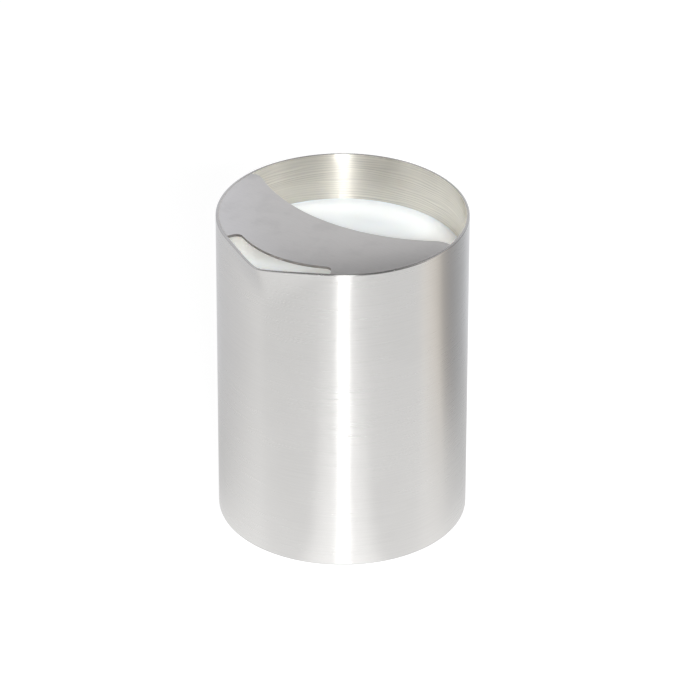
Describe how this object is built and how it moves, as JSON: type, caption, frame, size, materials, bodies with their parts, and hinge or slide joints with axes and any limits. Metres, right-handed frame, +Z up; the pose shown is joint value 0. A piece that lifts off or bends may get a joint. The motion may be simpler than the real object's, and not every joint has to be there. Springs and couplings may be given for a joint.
{
  "type": "creamer pitcher",
  "caption": "Cylindrical brushed-steel creamer with a pressed pouring beak and a crescent guard plate set flush in the mouth.",
  "frame": {"origin": "centre of the flat base, on the surface that the pitcher stands on", "axes": "+Z up along the tube's axis, the pouring beak points along -Y, +X is on the right when the beak faces the viewer"},
  "size_m": [0.068, 0.0718, 0.09],
  "materials": {
    "body_steel": "fine circumferential brushing outside, coarser turned lines inside",
    "base_steel": "satin, ground flush with the foot of the tube",
    "plate_steel": "satin, ground flush with the rim"
  },
  "bodies": {
    "root": {"body_shell": "body_steel", "base_disc": "base_steel", "guard_plate": "plate_steel"}
  },
  "joints": []
}
